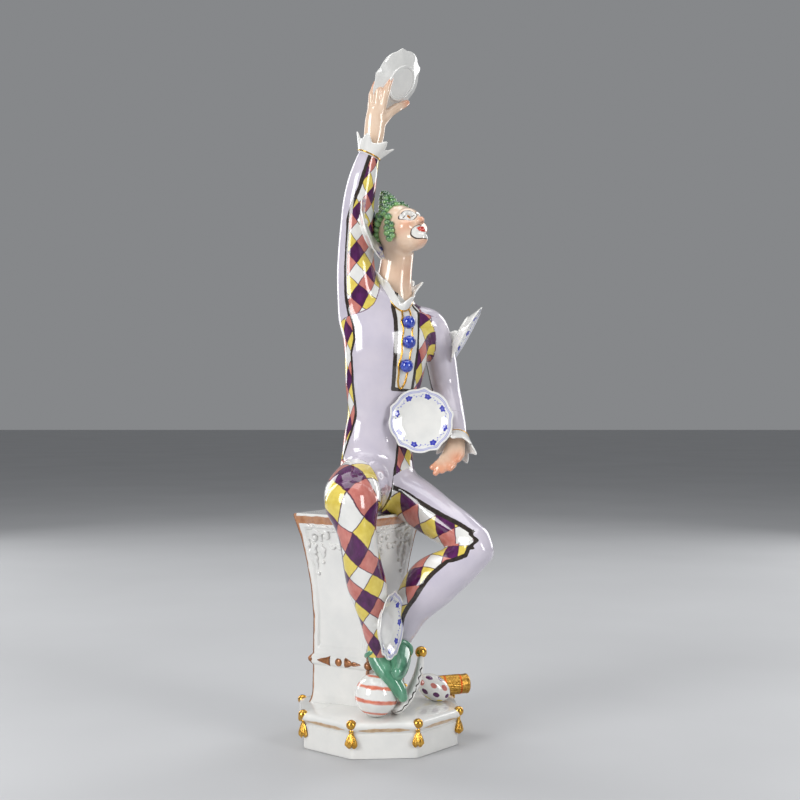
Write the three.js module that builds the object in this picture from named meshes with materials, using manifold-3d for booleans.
// A glazed porcelain figurine of a juggler, 430 mm tall: a figure in a harlequin suit sits on a flared
// square pier on an eight-sided base and balances five small plates. Millimetres, +Z up, the front
// towards -Y. The origin is the middle of the flat underside. It is fired as one piece, so it is one solid.
import * as THREE from "three";
import { mergeVertices } from "three/addons/utils/BufferGeometryUtils.js";
import Module from "manifold-3d";

const wasm = await Module();
wasm.setup();

const vec = (x, y, z) => new THREE.Vector3(x, y, z);
const DEG = Math.PI / 180;
const X_AXIS = vec(1, 0, 0);
const Y_AXIS = vec(0, 1, 0);
const Z_AXIS = vec(0, 0, 1);

// Base: an eight-sided plinth with a soft rolled rim
const BASE_SIDES = 8;
const BASE_RADIUS = 51;
const BASE_TURN = 27.5 * DEG;
const RIM_HEIGHT = 22;
const RIM_FLARE = 2.6;
const BEAD_RADIUS = 3;
const TASSEL_WIDTH = 6.2;
const TASSEL_HEIGHT = 11.5;

// Pier: square, standing cornerwise, its concave sides flaring to the seat
const PIER_AXIS = vec(-13, 8, 0);
const PIER_TURN = 13 * DEG;
const PIER_TOP = 140.7;
const PANEL_DEPTH = 1;
const FRAME_SHARE = 0.17;
const MOULDING = 49.5;
const MOULDING_BOSS = 2.9;

// Figure: the chest turns towards the viewer's right
const CHEST_TURN = 22 * DEG;
const HEAD_PLACE = vec(15.2, -5, 316.5);
const HEAD_TURN = 50 * DEG;
const HEAD_LIFT = 28 * DEG;
const CURL_RADIUS = 2.4;

// Small things
const PLATE_RADIUS = 20;
const PLATE_DEPTH = 5.2;
const PLATE_LOBES = 5;
const RUFFLE_THICKNESS = 1.5;
const BUTTON_RADIUS = 4.1;
const BALL_RADIUS = 12.9;

// A solid from points and three-cornered faces, turned so that its faces point out
function solidFrom(points, faces) {
  const vertProperties = new Float32Array(points.flatMap((p) => [p.x, p.y, p.z]));
  const build = (list) => {
    const triVerts = new Uint32Array(list.flat());
    return new wasm.Manifold(new wasm.Mesh({ numProp: 3, vertProperties, triVerts }));
  };
  const made = build(faces);
  return made.volume() > 0 ? made : build(faces.map(([a, b, c]) => [a, c, b]));
}

// A solid from a closed three.js geometry, placed by a matrix
function solidOf(geometry, matrix = new THREE.Matrix4()) {
  const bare = geometry.clone().applyMatrix4(matrix);
  bare.deleteAttribute("normal");
  bare.deleteAttribute("uv");
  const merged = mergeVertices(bare, 1e-4);
  const place = merged.getAttribute("position");
  const points = [];
  for (let i = 0; i < place.count; i++) points.push(vec().fromBufferAttribute(place, i));
  const faces = [];
  for (let i = 0; i < merged.index.count; i += 3) {
    faces.push([merged.index.getX(i), merged.index.getX(i + 1), merged.index.getX(i + 2)]);
  }
  return solidFrom(points, faces);
}

// The two faces of each cell between two rows of a grid that closes on itself
function band(faces, rowA, rowB, around) {
  for (let i = 0; i < around; i++) {
    const j = (i + 1) % around;
    faces.push([rowA + i, rowA + j, rowB + i], [rowA + j, rowB + j, rowB + i]);
  }
}

// A skin over a stack of rings, closed at both ends by a point
function shell(rings, first, last) {
  const around = rings[0].length;
  const points = [...rings.flat(), first, last];
  const faces = [];
  for (let row = 0; row + 1 < rings.length; row++) {
    band(faces, row * around, (row + 1) * around, around);
  }
  const end = (rings.length - 1) * around;
  for (let i = 0; i < around; i++) {
    const j = (i + 1) % around;
    faces.push([j, i, points.length - 2], [end + i, end + j, points.length - 1]);
  }
  return solidFrom(points, faces);
}

// A skin over sections that run round and meet the first one again
function hoop(sections) {
  const around = sections[0].length;
  const faces = [];
  sections.forEach((section, row) => {
    band(faces, row * around, ((row + 1) % sections.length) * around, around);
  });
  return solidFrom(sections.flat(), faces);
}

// A value of a list at the share t of its length, on a smooth curve through the values
function smooth(values, t) {
  const spot = t * (values.length - 1);
  const i = Math.min(Math.floor(spot), values.length - 2);
  const pick = (k) => values[Math.max(0, Math.min(values.length - 1, k))];
  const [a, b, c, d] = [pick(i - 1), pick(i), pick(i + 1), pick(i + 2)];
  const s = spot - i;
  return b + (s / 2) * (c - a + s * (2 * a - 5 * b + 4 * c - d + s * (3 * (b - c) + d - a)));
}

// A rounded limb through stations [x, y, z, across, along]: half-sizes across and along the hint
function limb(stations, { hint = Y_AXIS, sides = 8, blunt = 0.8 } = {}) {
  const column = (k) => stations.map((station) => station[k]);
  const placeAt = (t) => vec(smooth(column(0), t), smooth(column(1), t), smooth(column(2), t));
  const rows = stations.length - 1;
  const section = (t, scale, push) => {
    const ahead = placeAt(Math.min(1, t + 0.01)).sub(placeAt(Math.max(0, t - 0.01))).normalize();
    const along = hint.clone().addScaledVector(ahead, -hint.dot(ahead)).normalize();
    const across = ahead.clone().cross(along);
    const middle = placeAt(t).addScaledVector(ahead, push);
    const ring = [];
    for (let i = 0; i < sides; i++) {
      const angle = (2 * Math.PI * i) / sides;
      ring.push(
        middle
          .clone()
          .addScaledVector(across, Math.cos(angle) * smooth(column(3), t) * scale)
          .addScaledVector(along, Math.sin(angle) * smooth(column(4), t) * scale),
      );
    }
    return { ring, middle };
  };
  const domeStart = Math.min(stations[0][3], stations[0][4]) * blunt;
  const domeEnd = Math.min(stations.at(-1)[3], stations.at(-1)[4]) * blunt;
  const rings = [section(0, 0.62, -domeStart * 0.78).ring];
  for (let row = 0; row <= rows; row++) rings.push(section(row / rows, 1, 0).ring);
  rings.push(section(1, 0.62, domeEnd * 0.78).ring);
  return shell(rings, section(0, 0, -domeStart).middle, section(1, 0, domeEnd).middle);
}

function ball(place, radius, detail = 1) {
  const spot = new THREE.Matrix4().setPosition(place);
  return solidOf(new THREE.IcosahedronGeometry(radius, detail), spot);
}

function egg(place, radii, direction = Z_AXIS, detail = 1) {
  const turn = new THREE.Quaternion().setFromUnitVectors(Z_AXIS, direction.clone().normalize());
  const spot = new THREE.Matrix4().compose(place, turn, radii);
  return solidOf(new THREE.IcosahedronGeometry(1, detail), spot);
}

// A pointed leaf lying on a face: half-sizes [through, wide, long], its tip at the lean from upright
function leaf(place, size, facing, lean = 0) {
  const turn = new THREE.Quaternion().setFromUnitVectors(X_AXIS, facing);
  turn.multiply(new THREE.Quaternion().setFromAxisAngle(X_AXIS, lean));
  const spot = new THREE.Matrix4().compose(place, turn, vec(...size));
  return solidOf(new THREE.OctahedronGeometry(1, 0), spot);
}

const join = (solids) => solids.reduce((whole, next) => whole.add(next));

// Base

// A flat polygon ring of the base at a height
function baseRing(radius, height) {
  const ring = [];
  for (let i = 0; i < BASE_SIDES; i++) {
    const angle = BASE_TURN + (i * 2 * Math.PI) / BASE_SIDES;
    ring.push(vec(radius * Math.cos(angle), radius * Math.sin(angle), height));
  }
  return ring;
}

function base() {
  const profile = [
    [BASE_RADIUS, 0],
    [BASE_RADIUS, RIM_HEIGHT - 8],
    [BASE_RADIUS - 0.6, RIM_HEIGHT - 6.6],
    [BASE_RADIUS + RIM_FLARE, RIM_HEIGHT - 3.4],
    [BASE_RADIUS + RIM_FLARE, RIM_HEIGHT - 1.8],
    [BASE_RADIUS + RIM_FLARE - 1.6, RIM_HEIGHT - 0.4],
    [BASE_RADIUS - 3, RIM_HEIGHT + 0.5],
    [BASE_RADIUS * 0.55, RIM_HEIGHT + 2],
  ];
  const rings = profile.map(([radius, height]) => baseRing(radius, height));
  return shell(rings, vec(0, 0, 0), vec(0, 0, RIM_HEIGHT + 2.4));
}

// A drop under each bead, full below its neck and pointed at the end
function tassel(corner) {
  const half = TASSEL_WIDTH / 2;
  const profile = [[0, -TASSEL_HEIGHT], [half, -TASSEL_HEIGHT * 0.6], [half * 0.6, -TASSEL_HEIGHT * 0.12], [0, 0]];
  const outline = profile.map(([radius, z]) => new THREE.Vector2(radius, z));
  const spot = new THREE.Matrix4().setPosition(corner);
  return solidOf(new THREE.LatheGeometry(outline, 5).rotateX(Math.PI / 2), spot);
}

function baseTrim() {
  const beads = baseRing(BASE_RADIUS + RIM_FLARE - 0.4, RIM_HEIGHT - 1.6);
  const tassels = baseRing(BASE_RADIUS + 0.6, RIM_HEIGHT - 3.8);
  return [...beads.map((place) => ball(place, BEAD_RADIUS, 0)), ...tassels.map(tassel)];
}

// Pier

// Half of the pier's diagonal at each height
const PIER_PROFILE = [
  [RIM_HEIGHT, 32.5],
  [28, 30],
  [46, 29.5],
  [47, 31.2],
  [52, 31.2],
  [53, 29.6],
  [76, 29.3],
  [95, 30.9],
  [111, 33.7],
  [125, 37],
  [138, 41.6],
  [PIER_TOP, 41.8],
];

function pierHalfWidth(height) {
  const above = PIER_PROFILE.findIndex(([z]) => z >= height);
  const [z1, d1] = PIER_PROFILE[Math.max(1, above)];
  const [z0, d0] = PIER_PROFILE[Math.max(1, above) - 1];
  return (d0 + ((d1 - d0) * (height - z0)) / (z1 - z0)) / Math.SQRT2;
}

// A point on side 0 to 3 of the pier: run from -1 to 1 between its corners, lifted off the face
function pierPoint(side, run, height, lift = 0) {
  const half = pierHalfWidth(height);
  const facing = PIER_TURN - Math.PI / 4 + (side * Math.PI) / 2;
  const out = vec(Math.sin(facing), -Math.cos(facing), 0);
  const sideways = vec(Math.cos(facing), Math.sin(facing), 0);
  const point = PIER_AXIS.clone().addScaledVector(out, half + lift);
  return point.addScaledVector(sideways, run * half).setZ(height);
}

function pierRing(height, inset) {
  const ring = [];
  const edge = 1 - 2 * FRAME_SHARE;
  for (let side = 0; side < 4; side++) {
    ring.push(pierPoint(side, -0.99, height));
    ring.push(pierPoint(side, -edge, height));
    ring.push(pierPoint(side, -edge + 0.04, height, -inset));
    ring.push(pierPoint(side, edge - 0.04, height, -inset));
    ring.push(pierPoint(side, edge, height));
  }
  return ring;
}

function pier() {
  const levels = PIER_PROFILE.map(([height]) => [height, 0]);
  for (const level of levels) {
    if (level[0] > 57 && level[0] < 129) level[1] = PANEL_DEPTH;
  }
  for (const [edge, inner] of [[57, 57.8], [129, 128.2]]) {
    levels.push([edge, 0], [inner, PANEL_DEPTH]);
  }
  levels.sort((a, b) => a[0] - b[0]);
  const rings = levels.map(([height, inset]) => pierRing(height, inset));
  const foot = PIER_AXIS.clone().setZ(RIM_HEIGHT);
  return shell(rings, foot, PIER_AXIS.clone().setZ(PIER_TOP));
}

// Leaves in an upper corner of a panel: [run, height, half-width, half-length, lean in degrees]
const ROCAILLE = [
  [0.34, 124.6, 2.2, 7, 84],
  [0.47, 117, 2.8, 7, 30],
  [0.63, 106, 2.2, 13, -3],
];

function rocaille(side, hand) {
  const facing = pierPoint(side, 0, 90, 1).sub(pierPoint(side, 0, 90));
  return ROCAILLE.map(([run, height, wide, long, lean]) => {
    const place = pierPoint(side, run * hand, height, -0.4);
    return leaf(place, [2.2, wide, long], facing, -lean * hand * DEG);
  });
}

// The gilt ornament on each face of the moulding: a disc between two leaves
function mouldingOrnament(side) {
  const facing = pierPoint(side, 0, MOULDING, 1).sub(pierPoint(side, 0, MOULDING));
  return [[0, 2.4, 2.4], [-0.45, 6, 3], [0.45, 6, 3]].map(([run, wide, high]) => {
    return leaf(pierPoint(side, run, MOULDING), [1.2, wide, high], facing);
  });
}

function pierTrim() {
  const solids = [];
  for (let side = 0; side < 4; side++) {
    solids.push(...rocaille(side, -1), ...rocaille(side, 1), ...mouldingOrnament(side));
    solids.push(ball(pierPoint(side, 0.97, MOULDING, -0.6), MOULDING_BOSS, 0));
  }
  return solids;
}

// Figure: limbs as lists of [x, y, z, half-size across the view, half-size along it]
const TORSO = [
  [-3, 8, 150, 22, 17],
  [-2, 5.5, 161, 24.5, 18],
  [-1.4, 3.5, 171, 23.5, 17],
  [-1, 2, 181, 22.6, 15.5],
  [-0.4, 1, 192, 21.6, 14.5],
  [0.4, 0, 203, 20.6, 14],
  [2.2, -1.5, 219, 24, 15.5],
  [3.8, -2, 233, 26, 17],
  [5, -1, 248, 28, 17.5],
  [5.5, 1, 260, 28, 16],
  [6, 2, 269, 25, 13],
  [8.5, 3, 276.5, 15, 10.5],
];
const NECK = [
  [9.5, 4, 272, 11.5, 10.5],
  [11, 2.5, 284, 9.8, 9.6],
  [12.4, 1.5, 296, 9.4, 9.6],
  [13, 1, 306, 9.8, 10],
];
const RIGHT_ARM = [
  [-8, -3, 256, 12, 10],
  [-11.5, -5, 270, 13.5, 11],
  [-13.8, -5, 286, 12.4, 11],
  [-14.4, -4.5, 302, 11.2, 10.4],
  [-13.8, -3, 319, 10.4, 10],
  [-12.7, -3, 334, 9.8, 9.4],
  [-10.2, -4, 348, 8.9, 8.6],
  [-7.2, -4, 360, 7.2, 7],
  [-5, -4.5, 367, 5.7, 5.4],
];
const LEFT_ARM = [
  [21, 6, 262, 9, 10],
  [31.5, 10, 258, 10.5, 10.5],
  [36.5, 15, 247, 10.2, 10.2],
  [39.4, 19, 236, 9.8, 9.8],
  [42, 21, 221, 9.2, 9.2],
  [44.6, 14, 209, 8.4, 8.4],
  [47.4, 4, 197, 7, 7],
  [49, -2, 189.5, 5.6, 5.6],
];
const RIGHT_THIGH = [
  [-6, 6, 158, 17, 21],
  [-8.5, -14, 158, 17.5, 19.5],
  [-12, -30, 156, 18, 18.6],
  [-14.5, -43, 153.5, 17.6, 17],
  [-15.5, -51, 150.5, 14.6, 14.6],
];
const RIGHT_SHANK = [
  [-14.2, -49, 150, 14.4, 12],
  [-12.9, -52, 140, 12.4, 12],
  [-11, -52, 126.5, 11, 11.6],
  [-8.9, -49, 114, 11.3, 11.8],
  [-6.3, -46, 102, 11.6, 11.2],
  [-3.6, -43, 90, 10, 9.8],
  [-1.7, -40, 78, 8.2, 8.2],
  [-0.6, -37, 66, 6.8, 7],
  [0, -36, 59, 6.2, 6.6],
];
const LEFT_THIGH = [
  [4, 7, 157, 17, 16],
  [15.6, 0, 152.5, 15, 15.5],
  [26.7, -7, 145.6, 14.3, 15],
  [37.6, -13.5, 138, 13.4, 14],
  [48.4, -20, 131.3, 12.4, 12.6],
  [57.5, -25, 125.2, 11, 11.2],
];
const LEFT_SHANK = [
  [59.5, -27, 121.5, 11, 11],
  [47.5, -27, 111, 12.9, 12.8],
  [32.4, -26, 100.4, 15.6, 14],
  [21.4, -23.5, 86.4, 12.4, 12],
  [16.6, -21, 74, 8.6, 8.8],
  [13.4, -20, 65.5, 6.8, 7],
  [12, -20, 58.5, 6.3, 6.6],
];

function body() {
  const chest = vec(Math.sin(CHEST_TURN), -Math.cos(CHEST_TURN), 0);
  return [
    limb(TORSO, { hint: chest, sides: 12, blunt: 0.5 }),
    limb(NECK),
    limb(RIGHT_ARM),
    limb(LEFT_ARM),
    limb(RIGHT_THIGH, { hint: Z_AXIS, sides: 10 }),
    limb(RIGHT_SHANK),
    limb(LEFT_THIGH, { sides: 10 }),
    limb(LEFT_SHANK),
  ];
}

// Hands: a palm and tapering fingers
function hand(palm, fingers) {
  return [limb(palm, { sides: 7 }), ...fingers.map((finger) => limb(finger, { sides: 5 }))];
}

function raisedHand() {
  const palm = [[-4.5, -4.5, 366, 5.4, 4.6], [-3, -5, 376, 6.3, 4.4], [-2.2, -5.5, 385, 6.2, 4],
    [-1.4, -5.5, 392, 5.4, 3.4]];
  return hand(palm, [
    [[1.6, -6, 390, 2.6, 2.6], [4.4, -8, 401, 2.3, 2.3], [7.6, -7.6, 411.8, 2, 2]],
    [[-1.4, -6, 391, 2.6, 2.6], [-0.2, -7.4, 402, 2.3, 2.3], [3, -6, 411, 2, 2]],
    [[-4, -4.5, 390, 2.6, 2.6], [-4.2, -5, 400, 2.2, 2.2], [-1.6, -4.6, 408, 1.9, 1.9]],
    [[-4.6, -2.5, 388, 2.4, 2.4], [-5, -0.5, 396, 2, 2], [-2.8, 1.5, 402, 1.8, 1.8]],
    [[1, -4.5, 384, 4, 3.6], [7.6, -1, 391.5, 3, 3], [12.8, 4, 395.6, 2.7, 2.6], [17.4, 8, 399, 2, 2]],
  ]);
}

function loweredHand() {
  const palm = [[49, -3, 189, 5, 4.6], [47.6, -6, 183.5, 5.6, 4], [45, -9, 177.5, 6, 3.6], [42, -11.5, 173.5, 5.2, 3]];
  return hand(palm, [
    [[46.5, -10, 176.5, 2.6, 2.6], [45.6, -13.4, 171.6, 2.2, 2.2], [43.4, -15, 169, 1.9, 1.9]],
    [[43.4, -11.5, 174, 2.5, 2.5], [41, -14.6, 169.6, 2.1, 2.1], [38.4, -15.6, 167.6, 1.8, 1.8]],
    [[41, -12, 174, 2.4, 2.4], [37.4, -14.6, 169.4, 2, 2], [34.6, -15, 166, 1.7, 1.7]],
    [[39.8, -12, 175.4, 2.4, 2.4], [36, -14, 172, 2, 2], [32.6, -14.6, 169.6, 1.7, 1.7]],
    [[50.4, -7, 183, 3, 3], [50.6, -11, 178, 2.4, 2.4], [48.6, -13.6, 174.4, 1.9, 1.9]],
  ]);
}

// Head: built facing -Y about its own middle, then turned and lifted
function headMatrix() {
  const turn = new THREE.Matrix4().makeRotationZ(HEAD_TURN);
  const lift = new THREE.Matrix4().makeRotationX(-HEAD_LIFT);
  return new THREE.Matrix4().setPosition(HEAD_PLACE).multiply(turn).multiply(lift);
}

const CRANIUM = { place: vec(0, 3, 4.5), radii: vec(12.4, 15, 13.8) };

function head() {
  const jaw = [[0, -8.4, -16.6, 4.2, 4.6], [0, -6.4, -13.6, 7.6, 7.6], [0, -4, -8.4, 10, 10.6],
    [0, -2.2, -2.4, 11.4, 12.6], [0, -1, 4, 12, 13.8], [0, 0.5, 10, 10.6, 12.4]];
  const nose = [[0, -14.2, 3, 1.3, 1.6], [0, -16.2, -1.2, 1.9, 2], [0, -17, -4.4, 2.7, 2.4]];
  const lips = [[-3.6, -13, -9.6, 1.2, 1.1], [0, -14.6, -9.6, 1.5, 1.5], [3.6, -13, -9.6, 1.2, 1.1]];
  const solids = [
    limb(jaw, { sides: 12, blunt: 0.6 }),
    egg(CRANIUM.place, CRANIUM.radii),
    limb(nose, { sides: 6 }),
    limb(lips, { sides: 5 }),
  ];
  for (const side of [-1, 1]) solids.push(egg(vec(12 * side, 2, -1.6), vec(1.9, 3, 4.4), Z_AXIS, 0));
  return solids;
}

// Hair: a cap of small curls that ends in a line over the forehead and the ears
function hairCap() {
  const rows = 7;
  const around = 20;
  const rings = [];
  for (let row = 1; row <= rows; row++) {
    const ring = [];
    for (let i = 0; i < around; i++) {
      const down = (row / rows) * 125 * DEG;
      const angle = (2 * Math.PI * i) / around;
      const spot = vec(Math.sin(down) * Math.cos(angle), Math.sin(down) * Math.sin(angle), Math.cos(down));
      const inHair = spot.z > 0.2 - 0.5 * spot.y;
      const curl = (row + i) % 2 ? 0.5 : CURL_RADIUS;
      const lift = inHair ? curl : -CURL_RADIUS;
      const radii = CRANIUM.radii.clone().addScalar(lift);
      ring.push(spot.multiply(radii).add(CRANIUM.place));
    }
    rings.push(ring);
  }
  return shell(rings, CRANIUM.place.clone().add(vec(0, 0, CRANIUM.radii.z + 1)), CRANIUM.place.clone());
}

// The tuft of curls that stands up from the crown
function tuft() {
  const curls = [[-1, 1, 19, 5], [3.4, 0, 20.4, 3], [-5.4, 0.4, 20.6, 3], [-1, 5.4, 20.4, 3],
    [-1.4, 1, 24.4, 3.6], [-2, -0.6, 27.4, 2.6]];
  return curls.map(([x, y, z, radius]) => ball(vec(x, y, z), radius, 0));
}

// A ruffle: a thin standing sheet round a closed line, its free edge in waves
function ruffle({ root, edge, waves, count, phase = 0 }) {
  const sections = [];
  for (let i = 0; i < count; i++) {
    const angle = (2 * Math.PI * i) / count;
    const wave = Math.cos(waves * angle + phase);
    const from = root(angle);
    const to = edge(angle, wave);
    const rise = to.clone().sub(from).normalize();
    const round = root(angle + 0.05).sub(from).normalize();
    const out = rise.clone().cross(round).normalize().multiplyScalar(RUFFLE_THICKNESS / 2);
    const thin = out.clone().multiplyScalar(0.7);
    sections.push([from.clone().add(out), to.clone().add(thin), to.clone().sub(thin), from.clone().sub(out)]);
  }
  return hoop(sections);
}

// The collar stands round the neck and dips to a point over the buttons
function collar() {
  const front = CHEST_TURN - Math.PI / 2;
  const dip = (angle) => Math.max(0, Math.cos(angle - front)) ** 3;
  const root = (angle) => vec(
    9.5 + (10.5 + 2 * dip(angle)) * Math.cos(angle),
    3 + (10 + 4 * dip(angle)) * Math.sin(angle),
    279 - 12 * dip(angle) - 2 * Math.cos(angle),
  );
  const edge = (angle, wave) => {
    const reach = 15.2 + 1.8 * wave;
    const height = 288 - 14.5 * dip(angle) - 4 * Math.cos(angle) + 1.6 * wave;
    return vec(10 + reach * Math.cos(angle), 2.5 + reach * Math.sin(angle), height);
  };
  return ruffle({ root, edge, waves: 7, count: 25 });
}

// A cuff flares like a bell from a wrist, along an axis
function cuff({ wrist, axis, inner, outer, length, waves, count, phase }) {
  const ahead = axis.clone().normalize();
  const side = Y_AXIS.clone().addScaledVector(ahead, -Y_AXIS.dot(ahead)).normalize();
  const across = ahead.clone().cross(side);
  const around = (angle, radius, push) => wrist.clone().addScaledVector(side, radius * Math.sin(angle))
    .addScaledVector(across, radius * Math.cos(angle)).addScaledVector(ahead, push);
  const root = (angle) => around(angle, inner, 0);
  const edge = (angle, wave) => around(angle, outer + 1.5 * wave, length + 1.8 * wave);
  return ruffle({ root, edge, waves, count, phase });
}

function cuffs() {
  return [
    cuff({ wrist: vec(-6.4, -4, 363), axis: vec(0.45, 0, 1), inner: 6.2, outer: 10.5, length: 8,
      waves: 6, count: 20, phase: 0.6 }),
    cuff({ wrist: vec(49.3, -2.5, 189), axis: vec(-0.15, -0.62, -0.75), inner: 5.4, outer: 11,
      length: 10, waves: 7, count: 22, phase: 0.2 }),
  ];
}

// Plates: a five-lobed saucer whose front faces along a direction
function plateOutline(angle) {
  const lobe = (2 * Math.PI) / PLATE_LOBES;
  const off = Math.abs(((angle % lobe) + lobe) % lobe);
  const near = Math.min(off, lobe - off) / DEG;
  return 1 + 0.03 * Math.exp(-((near / 6) ** 2)) - 0.035 * Math.exp(-(((near - 14) / 9) ** 2));
}

const PLATE_ANGLES = [];
for (let lobe = 0; lobe < PLATE_LOBES; lobe++) {
  for (const share of [0, 15, 57]) PLATE_ANGLES.push((lobe * 72 + share) * DEG);
}

function plate(place, facing, roll) {
  const profile = [
    [0.6, -PLATE_DEPTH + 2, 0.3],
    [1, 0, 1],
    [1, -1.1, 1],
    [0.55, -PLATE_DEPTH, 0.2],
  ];
  const turn = new THREE.Quaternion().setFromUnitVectors(Z_AXIS, facing.clone().normalize());
  const spot = new THREE.Matrix4().compose(place, turn, vec(1, 1, 1));
  spot.multiply(new THREE.Matrix4().makeRotationZ(roll));
  const rings = profile.map(([share, height, lobed]) => PLATE_ANGLES.map((angle) => {
    const radius = PLATE_RADIUS * share * (1 + lobed * (plateOutline(angle) - 1));
    return vec(radius * Math.cos(angle), radius * Math.sin(angle), height).applyMatrix4(spot);
  }));
  const top = vec(0, 0, -PLATE_DEPTH + 1.5).applyMatrix4(spot);
  const bottom = vec(0, 0, -PLATE_DEPTH).applyMatrix4(spot);
  return shell(rings, top, bottom);
}

function plates() {
  return [
    plate(vec(10.8, 1.6, 411.2), vec(-0.69, 0.54, 0.48), 0.3),
    plate(vec(-3, -12.5, 316.5), vec(0.93, -0.25, 0.27), 0.2),
    plate(vec(55.4, 13, 252.3), vec(0.866, -0.1, -0.49), 0.5),
    plate(vec(26, -16.5, 198.6), vec(0.05, -1, 0.05), 0.25),
    plate(vec(8.7, -47.5, 78.4), vec(0.935, -0.35, -0.03), 0.1),
  ];
}

// Dress: buttons, slippers and what lies on the base
function buttons() {
  return [vec(18.6, -12.8, 259), vec(18.8, -15.6, 246.6), vec(17.2, -16.8, 232)]
    .map((place) => ball(place, BUTTON_RADIUS));
}

function slippers() {
  const right = [[-2.4, -34.5, 62, 5, 6], [1.2, -37.5, 54.5, 5.8, 6.4], [7.4, -41, 46.5, 5.6, 6.6],
    [12.6, -43, 39.6, 4.4, 5.6], [15, -43.6, 35, 3, 4]];
  const left = [[12, -25, 60, 6.6, 7.4], [12.8, -32, 56.5, 6.8, 7], [12.8, -40, 52.4, 6.6, 5.4],
    [11.6, -46, 49.4, 5, 3.8]];
  return [limb(right), limb(left, { hint: X_AXIS })];
}

function cap() {
  const crescent = [[25.9, -20, 56, 1.8, 2], [24.8, -23, 48, 2.6, 5.4], [22, -27, 40, 3.2, 8],
    [17, -31, 32, 3.4, 9], [11, -35, 26, 3, 7.4]];
  return [limb(crescent, { sides: 6 }), ball(vec(25.9, -20, 57.6), 3.6)];
}

function rollBar() {
  const bar = [[35, 9, 30.4, 6.2, 6.2], [48, 12.6, 30.8, 6.2, 6.2], [54.6, 14.2, 31, 6.2, 6.2]];
  return limb(bar, { hint: Z_AXIS, blunt: 0.25 });
}

function props() {
  return [
    ball(vec(-0.9, -38, 35.8), BALL_RADIUS),
    egg(vec(34, 0, 31.6), vec(7.6, 7.6, 11.4), vec(0.82, 0.1, -0.5)),
    rollBar(),
    ...cap(),
  ];
}

// A short strut of clay between the belly and the plate in front of it
function strut() {
  return limb([[10, -3, 199, 4, 4], [22, -12.6, 198.6, 4, 4]], { sides: 5 });
}

const turned = headMatrix();
const worldHead = [...head(), hairCap(), ...tuft()].map((solid) => solid.transform(turned.elements));

const whole = join([
  base(),
  ...baseTrim(),
  pier(),
  ...pierTrim(),
  ...body(),
  ...worldHead,
  ...raisedHand(),
  ...loweredHand(),
  collar(),
  ...cuffs(),
  ...plates(),
  ...buttons(),
  ...slippers(),
  ...props(),
  strut(),
]);

function geometryOf(solid) {
  const mesh = solid.getMesh();
  const geometry = new THREE.BufferGeometry();
  geometry.setAttribute("position", new THREE.BufferAttribute(mesh.vertProperties, 3));
  geometry.setIndex(new THREE.BufferAttribute(mesh.triVerts, 1));
  geometry.computeVertexNormals();
  return geometry;
}

const glaze = new THREE.MeshStandardMaterial({ color: 0xe9e7e2, roughness: 0.12, metalness: 0 });
const figurine = new THREE.Mesh(geometryOf(whole), glaze);
figurine.name = "juggler_figurine";

const group = new THREE.Group();
group.add(figurine);

export default group;
